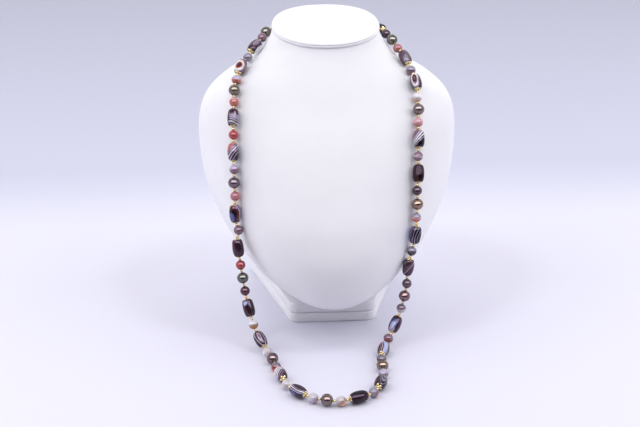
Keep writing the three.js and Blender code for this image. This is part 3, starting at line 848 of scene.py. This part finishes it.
def cap_form(radius, petals=5, sides=60):
    """A flower cap in its own frame: y points away from the barrel, whose end is at y = 0."""
    crown = [(0.62, 0.5), (0.62, 0.86), (0.78, 0.98), (0.98, 0.9), (1.08, 0.66)]
    reaches = [0.2, 0.45, 0.7, 0.88, 0.97, 1.0]
    neck, notch, roof_top = 1.08, 1.3, 0.62
    points = []
    for side in range(sides):
        angle = 2 * math.pi * side / sides
        lobe = abs(math.cos(angle * petals / 2)) ** 0.75
        reach = notch + (radius - notch) * lobe
        line = list(crown)
        for share in reaches:
            r = neck + (reach - neck) * share
            roof = roof_top - 0.68 * (r - neck) / (radius - neck)
            puff = 0.16 * math.sin(math.pi * min(share, 0.96)) * lobe
            edge = -0.18 * max(0, share - 0.8) / 0.2
            line.append((r, roof + puff + edge - 0.16 * (1 - lobe)))
        line.append((reach * 0.97, 0.04 - 0.34 * (reach - neck) / (radius - neck)))
        line.append((1.0, 0.04))
        points.append([(r * math.cos(angle), y, r * math.sin(angle)) for r, y in line])
    rows = len(points[0])
    flat = [Vector(points[side][row]) for row in range(rows) for side in range(sides)]
    return flat, ring_faces(rows, sides, True)


def turn_along(way, spin=0.0):
    """A turn that takes y to the way, spun about it by an angle in radians."""
    across = way.orthogonal().normalized()
    if spin:
        across.rotate(Matrix.Rotation(spin, 3, way))
    return Matrix((across, way, across.cross(way))).transposed().to_euler()


def string_points(beads, sizes):
    """One mesh that holds the places of all small pieces, and the thread's line."""
    points = [{"at": end, "kind": THREAD} for bead in beads for end in bead.ends()]
    image_right, image_up, image_out = camera_turn().to_matrix().transposed()
    looks = iter(ROUND_LOOKS)
    for index, bead in enumerate(beads):
        if bead.kind == "round":
            upper, middle, lower, at, half, lean, lines = next(looks)
            angle = math.radians(lean)
            way = image_up * math.cos(angle) + image_right * math.sin(angle) + image_out * 0.12
            turn = bead.frame()
            points.append(
                {
                    "at": bead.middle,
                    "kind": ROUND,
                    "turn": turn.to_euler(),
                    "layer_way": turn.transposed() @ way.normalized() / sizes.round_radius,
                    "layer_limits": (at - half, at + half, lines),
                    "tones": (tone(upper), tone(middle), tone(lower)),
                }
            )
        if bead.kind == "barrel":
            for side in (-1, 1):
                way = bead.line * side
                base = bead.middle + way * sizes.barrel_length * 0.5 * MM
                points.append({"at": base, "kind": CAP, "turn": turn_along(way, 1.3 * index + side)})
        end = bead.ends()[1]
        after = beads[(index + 1) % len(beads)].ends()[0]
        turn = turn_along((after - end).normalized())
        points.append({"at": (end + after) / 2, "kind": SPACER, "turn": turn})
    mesh = bpy.data.meshes.new("string_places")
    count = 2 * len(beads)
    edges = [(i, (i + 1) % count) for i in range(count)]
    mesh.from_pydata([tuple(p["at"]) for p in points], edges, [])
    store(mesh, "kind", "INT", [p["kind"] for p in points])
    for name in ("turn", "layer_way", "layer_limits"):
        store(mesh, name, "FLOAT_VECTOR", [tuple(p.get(name, (0, 0, 0))) for p in points])
    black = (0, 0, 0, 1)
    for place, name in enumerate(("tone_upper", "tone_middle", "tone_lower")):
        store(mesh, name, "FLOAT_COLOR", [p.get("tones", (black,) * 3)[place] for p in points])
    return mesh


def string_tree(stone, gold, thread):
    """Strings rounds, spacers, caps and thread on the given places."""
    tree = bpy.data.node_groups.new("bead_string", "GeometryNodeTree")
    tree.is_modifier = True

    def socket(name, kind, way="INPUT"):
        return tree.interface.new_socket(name, in_out=way, socket_type="NodeSocket" + kind)

    sockets = {"Geometry": socket("Geometry", "Geometry")}
    for name in ("Round stone", "Spacer", "Cap"):
        sockets[name] = socket(name, "Object")
    sockets["Thread radius"] = socket("Thread radius", "Float")
    sockets["Thread radius"].default_value = 0.45 * MM
    sockets["Thread sides"] = socket("Thread sides", "Int")
    sockets["Thread sides"].default_value = 8
    socket("Geometry", "Geometry", "OUTPUT")
    given = put(tree, "NodeGroupInput").outputs
    result = put(tree, "NodeGroupOutput")
    join = put(tree, "GeometryNodeJoinGeometry")

    def stored(name, kind):
        node = put(tree, "GeometryNodeInputNamedAttribute", {"Name": name}, data_type=kind)
        return node.outputs["Attribute"]

    kind = stored("kind", "INT")
    turn = put(tree, "FunctionNodeEulerToRotation", {0: stored("turn", "FLOAT_VECTOR")}).outputs[0]

    def chosen(number):
        node = put(tree, "FunctionNodeCompare", data_type="INT", operation="EQUAL")
        ends = [end for end in node.inputs if end.enabled]
        tree.links.new(kind, ends[0])
        ends[1].default_value = number
        return node.outputs[0]

    def add_dressed(geometry, material):
        dressed = put(tree, "GeometryNodeSetMaterial", {"Geometry": geometry, "Material": material})
        tree.links.new(dressed.outputs[0], join.inputs[0])

    small = ((ROUND, "Round stone", stone), (SPACER, "Spacer", gold), (CAP, "Cap", gold))
    for number, name, material in small:
        form = put(tree, "GeometryNodeObjectInfo", {"Object": given[name], "As Instance": True})
        inputs = {
            "Points": given["Geometry"],
            "Selection": chosen(number),
            "Instance": form.outputs["Geometry"],
            "Rotation": turn,
        }
        strung = put(tree, "GeometryNodeInstanceOnPoints", inputs)
        real = put(tree, "GeometryNodeRealizeInstances", {0: strung.outputs[0]})
        add_dressed(real.outputs[0], material)
    inputs = {"Mesh": given["Geometry"], "Selection": chosen(THREAD)}
    line = put(tree, "GeometryNodeMeshToCurve", inputs)
    inputs = {"Resolution": given["Thread sides"], "Radius": given["Thread radius"]}
    ring = put(tree, "GeometryNodeCurvePrimitiveCircle", inputs)
    inputs = {"Curve": line.outputs[0], "Profile Curve": ring.outputs[0]}
    add_dressed(put(tree, "GeometryNodeCurveToMesh", inputs).outputs[0], thread)
    # A cap that leans on the table is pressed no deeper than its top.
    here = put(tree, "GeometryNodeInputPosition").outputs[0]
    x, y, z = put(tree, "ShaderNodeSeparateXYZ", {0: here}).outputs
    lifted = put(tree, "ShaderNodeCombineXYZ", {0: x, 1: y, 2: calc(tree, "MAXIMUM", z, 0.0)})
    inputs = {"Geometry": join.outputs[0], "Position": lifted.outputs[0]}
    above = put(tree, "GeometryNodeSetPosition", inputs)
    smooth = put(tree, "GeometryNodeSetShadeSmooth", {"Geometry": above.outputs[0]})
    tree.links.new(smooth.outputs[0], result.inputs[0])
    return tree, {name: each.identifier for name, each in sockets.items()}


class NECKLACE_OT_add_bead_string(bpy.types.Operator):
    """Adds the thread with its round stones, gold spacers and caps as one body"""

    bl_idname = "necklace.add_bead_string"
    bl_label = "Bead string"

    def execute(self, context):
        sizes = context.scene.necklace_settings
        round_sides, spacer_sides = 36, 16
        beads = find_beads()
        rows = ball_rows(sizes.round_radius, 2 * sizes.round_radius, sizes.bore_radius)
        rows += bore_rows(rows, 0.5, STOP_RADIUS)
        points, faces = turned_form(rows, round_sides)
        forms = {"Round stone": small_form("round_form", points, faces)}
        store(forms["Round stone"].data, "bead_place", "FLOAT_VECTOR", [tuple(p) for p in points])
        rows = ball_rows(sizes.spacer_radius, SPACER_LENGTH, 0.5, 10)
        rows += bore_rows(rows, 0.3, STOP_RADIUS)
        forms["Spacer"] = small_form("spacer_form", *turned_form(rows, spacer_sides))
        forms["Cap"] = small_form("cap_form", *cap_form(sizes.cap_radius))
        holder = bpy.data.objects.new("string_holder", string_points(beads, sizes))
        context.scene.collection.objects.link(holder)
        tree, identifiers = string_tree(round_stone_material(), gold_material(), thread_material())
        modifier = holder.modifiers.new("bead_string", "NODES")
        modifier.node_group = tree
        for name, form in forms.items():
            modifier[identifiers[name]] = form
        modifier[identifiers["Thread radius"]] = sizes.thread_radius * MM
        context.view_layer.update()
        graph = context.evaluated_depsgraph_get()
        made = holder.evaluated_get(graph)
        mesh = bpy.data.meshes.new_from_object(made, preserve_all_data_layers=True, depsgraph=graph)
        if not mesh.polygons:
            raise RuntimeError("the bead string came out empty")
        mesh.name = "strung_beads"
        for name in ("kind", "turn"):
            if name in mesh.attributes:
                mesh.attributes.remove(mesh.attributes[name])
        piece = bpy.data.objects.new("strung_beads", mesh)
        context.scene.collection.objects.link(piece)
        for extra in [holder, *forms.values()]:
            bpy.data.objects.remove(extra)
        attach(piece, "root")
        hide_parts("bead_string")
        return {"FINISHED"}


def section_share(column, rise):
    """Value of one column of the section table at a share of the height, on a smooth line."""
    rows = BUST_SECTIONS
    row = 0
    while row < len(rows) - 2 and rows[row + 1][0] < rise:
        row += 1
    span = rows[row + 1][0] - rows[row][0]
    share = (rise - rows[row][0]) / span

    def slope_at(index):
        before = rows[max(index - 1, 0)]
        after = rows[min(index + 1, len(rows) - 1)]
        return (after[column] - before[column]) / (after[0] - before[0])

    start_slope = slope_at(row) * span
    end_slope = slope_at(row + 1) * span
    change = rows[row + 1][column] - rows[row][column]
    bend = 3 * change - 2 * start_slope - end_slope
    twist = start_slope + end_slope - 2 * change
    return rows[row][column] + share * (start_slope + share * (bend + share * twist))


def bust_shift():
    """How far the plain solids were moved along Y when their origin was set, in millimetres."""
    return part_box("base_lower")[0].y / MM


def signed_power(value, power):
    return math.copysign(abs(value) ** power, value)


def bust_ring(sizes, rise, grow):
    """One level ring of the bust, in metres, in the frame of the plain solids."""
    shift = bust_shift()
    half_width = section_share(1, rise) * sizes.bust_half_width + grow

    def line(column, at):
        return section_share(column, at) * sizes.bust_depth - sizes.chest_overhang

    front, widest, back = (line(column, rise) for column in (2, 3, 4))
    top_widest = line(3, 1)
    share = max(0, (rise - LEAN_START) / (1 - LEAN_START))
    lean = share * share * math.tan(sizes.neck_lean)
    ring = []
    for side in range(BUST_SIDES):
        angle = 2 * math.pi * side / BUST_SIDES
        is_front = math.sin(angle) < 0
        power = 2 / (FRONT_FULLNESS if is_front else BACK_FULLNESS)
        reach = (widest - front if is_front else back - widest) + grow
        x = half_width * signed_power(math.cos(angle), power)
        y = widest + reach * signed_power(math.sin(angle), power)
        z = BASE_TOP + rise * sizes.bust_height + lean * (y - top_widest)
        ring.append(Vector((x, y + shift, z)) * MM)
    return ring


def skin(rings):
    """Points and faces over the rings, closed at both ends round a middle point."""
    sides = len(rings[0])
    points = [point for ring in rings for point in ring]
    faces = [tuple(reversed(face)) for face in ring_faces(len(rings), sides, False)]
    for number, flip in ((0, True), (len(rings) - 1, False)):
        hub = len(points)
        points.append(sum(rings[number], Vector()) / sides)
        for side in range(sides):
            here, after = number * sides + side, number * sides + (side + 1) % sides
            faces.append((hub, after, here) if flip else (hub, here, after))
    return points, faces


class NECKLACE_OT_add_bust(bpy.types.Operator):
    """Adds the smooth covered bust in place of its faceted solid"""

    bl_idname = "necklace.add_bust"
    bl_label = "Bust"

    def execute(self, context):
        sizes = context.scene.stand_settings
        shares = [row / BUST_ROWS for row in range(BUST_ROWS + 1)]
        rings = [bust_ring(sizes, share, -sizes.surface_shrink) for share in shares]
        points, faces = skin(rings)
        piece = mesh_object("covered_bust", points, faces, leatherette_material())
        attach(piece, "root")
        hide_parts("bust")
        return {"FINISHED"}


class NECKLACE_OT_add_neck_cap(bpy.types.Operator):
    """Adds the padded oval board on the neck, with its rim and creases"""

    bl_idname = "necklace.add_neck_cap"
    bl_label = "Neck cap"

    def execute(self, context):
        sizes = context.scene.stand_settings
        normal = Vector((0, -math.sin(sizes.neck_lean), math.cos(sizes.neck_lean)))
        # How far each ring lies outside the neck's edge, and how high, in millimetres
        profile = (
            (-1.2, 0.12), (-0.2, 0.14), (0.35, 0.35), (0.6, 0.8), (0.62, 1.4), (0.5, 1.9), (0.1, 2.15),
            (-0.35, 2.2), (-0.45, 2.32), (-0.25, 2.5), (-0.05, 2.75), (-0.1, 3.05), (-0.5, 3.35),
            (-1.3, 3.6), (-3, 3.85), (-6, 4.1), (-12, 4.35), (-20, 4.5), (-28, 4.55),
        )
        rings = []
        for grow, rise in profile:
            rings.append([point + normal * rise * MM for point in bust_ring(sizes, 1, grow)])
        points, faces = skin(rings)
        piece = mesh_object("padded_neck_cap", points, faces, leatherette_material())
        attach(piece, "root")
        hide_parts("neck_cap")
        return {"FINISHED"}


def board_outline(margin, steps=10):
    """Outline of a base board, narrow in front and wide behind, drawn in by a margin."""
    front_half, back_half, depth, front_corner, back_corner = 36, 74, 118, 9, 12
    slope = (back_half - front_half) / depth
    side_angle = math.atan(slope)
    corners = (
        (front_corner, front_corner, -math.pi / 2, -side_angle),
        (depth - back_corner, back_corner, -side_angle, math.pi / 2),
    )
    right = []
    for middle_y, radius, start, end in corners:
        middle_x = front_half + slope * middle_y - radius / math.cos(side_angle)
        reach = radius - margin
        for step in range(steps + 1):
            angle = start + (end - start) * step / steps
            right.append((middle_x + reach * math.cos(angle), middle_y + reach * math.sin(angle)))
    return right + [(-x, y) for x, y in reversed(right)]


def rounded_edge(radius, low, high, steps=5, inner_run=6):
    """Margins and heights round a board's edge, from under it to its top."""
    arc = []
    for step in range(steps + 1):
        angle = math.pi / 2 * step / steps
        arc.append((radius * (1 - math.sin(angle)), radius * (1 - math.cos(angle))))
    rows = [(radius + inner_run, low)]
    rows += [(margin, low + rise) for margin, rise in arc]
    rows += [(margin, high - rise) for margin, rise in reversed(arc)]
    return rows + [(radius + inner_run, high)]


class NECKLACE_OT_add_base(bpy.types.Operator):
    """Adds the two covered boards that the bust stands on"""

    bl_idname = "necklace.add_base"
    bl_label = "Base boards"

    def execute(self, context):
        shift = bust_shift()
        cover = leatherette_material()
        for node in ("base_lower", "base_upper"):
            low, high = (corner.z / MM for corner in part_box(node))
            rings = []
            for margin, height in rounded_edge(EDGE_RADIUS, low, high):
                rings.append([Vector((x, y + shift, height)) * MM for x, y in board_outline(margin)])
            points, faces = skin(rings)
            piece = mesh_object("covered_" + node, points, faces, cover)
            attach(piece, "root")
            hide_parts(node)
        return {"FINISHED"}


# ---- Stage


def add_camera(scene):
    lens = bpy.data.cameras.new("photo_camera")
    lens.lens = CAMERA_LENS
    lens.sensor_width = SENSOR_WIDTH
    lens.clip_end = 20
    camera = bpy.data.objects.new("photo_camera", lens)
    camera.location = CAMERA_PLACE
    camera.rotation_euler = camera_turn()
    scene.collection.objects.link(camera)
    scene.camera = camera


def floor_material(settings):
    """A pale floor that changes its tone between two distances behind the origin, in metres; the darker far
    tone is painted shade for the dim backdrop.
    """
    near, far = 0.18, 0.36
    material, tree, shader = new_material("pale_floor", {"Roughness": 0.6})
    depth = put(tree, "ShaderNodeSeparateXYZ", {0: object_place(tree)}).outputs[1]
    share = map_range(tree, depth, near, far, smooth=True)
    mixed = mix_tones(tree, share, (*settings.floor_colour, 1), (*settings.far_shade_colour, 1))
    tree.links.new(mixed, shader.inputs["Base Color"])
    return material


def add_light(scene, name, place, size, watts, seen_in):
    lamp = bpy.data.lights.new(name, "AREA")
    lamp.shape = "RECTANGLE"
    lamp.size, lamp.size_y = size
    lamp.energy = watts
    lamp.color = (0.98, 0.98, 1)
    light = bpy.data.objects.new(name, lamp)
    light.visible_diffuse = seen_in != "glossy"
    light.visible_glossy = seen_in != "diffuse"
    light.location = place
    light.rotation_euler = (LIGHT_AIM - Vector(place)).to_track_quat("-Z", "Y").to_euler()
    scene.collection.objects.link(light)


def studio_world():
    """Dim surroundings with bright walls behind and at both sides."""
    world = bpy.data.worlds.new("studio")
    world.use_nodes = True
    tree = world.node_tree
    tree.nodes.clear()
    way = put(tree, "ShaderNodeTexCoord").outputs["Generated"]
    across, depth, height = put(tree, "ShaderNodeSeparateXYZ", {0: way}).outputs
    ramp = put(tree, "ShaderNodeValToRGB", {0: height})
    stops = (
        (0.0, (0.24, 0.23, 0.27, 1)),
        (0.06, (0.07, 0.07, 0.08, 1)),
        (0.48, (0.08, 0.08, 0.09, 1)),
        (0.62, (0.28, 0.28, 0.3, 1)),
    )
    set_stops(ramp.color_ramp, stops)
    sides = map_range(tree, calc(tree, "ABSOLUTE", across), 0.85, 1.0)
    behind = map_range(tree, depth, 0.1, 0.5)
    bright = calc(tree, "MAXIMUM", sides, behind)
    walls = mix_tones(tree, bright, ramp.outputs["Color"], (1, 1, 1, 1))
    background = put(tree, "ShaderNodeBackground", {"Color": walls, "Strength": 1.25})
    output = put(tree, "ShaderNodeOutputWorld")
    tree.links.new(background.outputs[0], output.inputs[0])
    return world


class NECKLACE_OT_add_stage(bpy.types.Operator):
    """Adds the camera, the pale floor and the soft studio lights"""

    bl_idname = "necklace.add_stage"
    bl_label = "Stage"

    def execute(self, context):
        scene = context.scene
        settings = scene.stage_settings
        add_camera(scene)
        half = FLOOR_HALF
        corners = [(-half, -half, 0), (half, -half, 0), (half, half, 0), (-half, half, 0)]
        floor = mesh_object("floor", corners, [(0, 1, 2, 3)], floor_material(settings), smooth=False)
        # Places and sizes in metres, and the rays that see each light
        lights = (
            ("key_left", (-0.45, 0, 1.2), (0.22, 0.22), settings.key_power, "diffuse"),
            ("key_right", (0.45, 0, 1.2), (0.22, 0.22), settings.key_power, "diffuse"),
            ("fill_top", (0, -0.7, 1.6), (2.6, 0.4), settings.fill_power, "diffuse"),
            ("fill_left", (-1.35, -0.1, 0.95), (1.4, 1.4), settings.side_power, "diffuse"),
            ("fill_right", (1.35, -0.1, 0.95), (1.4, 1.4), settings.side_power, "diffuse"),
            ("shine_panel", (0, -0.95, 1.5), (4.6, 1.15), settings.shine_power, "glossy"),
        )
        for light in lights:
            add_light(scene, *light)
        scene.world = studio_world()
        scene.view_settings.view_transform = "Standard"
        return {"FINISHED"}


class NECKLACE_PT_panel(bpy.types.Panel):
    """Lists the necklace's pieces"""

    bl_idname = "NECKLACE_PT_panel"
    bl_label = "Necklace"
    bl_space_type = "VIEW_3D"
    bl_region_type = "UI"
    bl_category = "Necklace"

    def draw(self, context):
        layout = self.layout
        scene = context.scene
        for group in (scene.necklace_settings, scene.stand_settings, scene.stage_settings):
            box = layout.box()
            for name in group.__annotations__:
                box.prop(group, name)
        for operator in OPERATORS:
            layout.operator(operator.bl_idname)


OPERATORS = (
    NECKLACE_OT_add_stage,
    NECKLACE_OT_add_pearls,
    NECKLACE_OT_add_barrels,
    NECKLACE_OT_add_bead_string,
    NECKLACE_OT_add_bust,
    NECKLACE_OT_add_neck_cap,
    NECKLACE_OT_add_base,
)
CLASSES = (NecklaceSettings, StandSettings, StageSettings, *OPERATORS, NECKLACE_PT_panel)


def register():
    for each in CLASSES:
        bpy.utils.register_class(each)
    bpy.types.Scene.necklace_settings = bpy.props.PointerProperty(type=NecklaceSettings)
    bpy.types.Scene.stand_settings = bpy.props.PointerProperty(type=StandSettings)
    bpy.types.Scene.stage_settings = bpy.props.PointerProperty(type=StageSettings)


def unregister():
    del bpy.types.Scene.stage_settings
    del bpy.types.Scene.stand_settings
    del bpy.types.Scene.necklace_settings
    for each in reversed(CLASSES):
        bpy.utils.unregister_class(each)


def main():
    register()
    bpy.ops.necklace.add_stage()
    bpy.ops.necklace.add_pearls()
    bpy.ops.necklace.add_barrels()
    bpy.ops.necklace.add_bead_string()
    bpy.ops.necklace.add_bust()
    bpy.ops.necklace.add_neck_cap()
    bpy.ops.necklace.add_base()


if __name__ == "__main__":
    main()
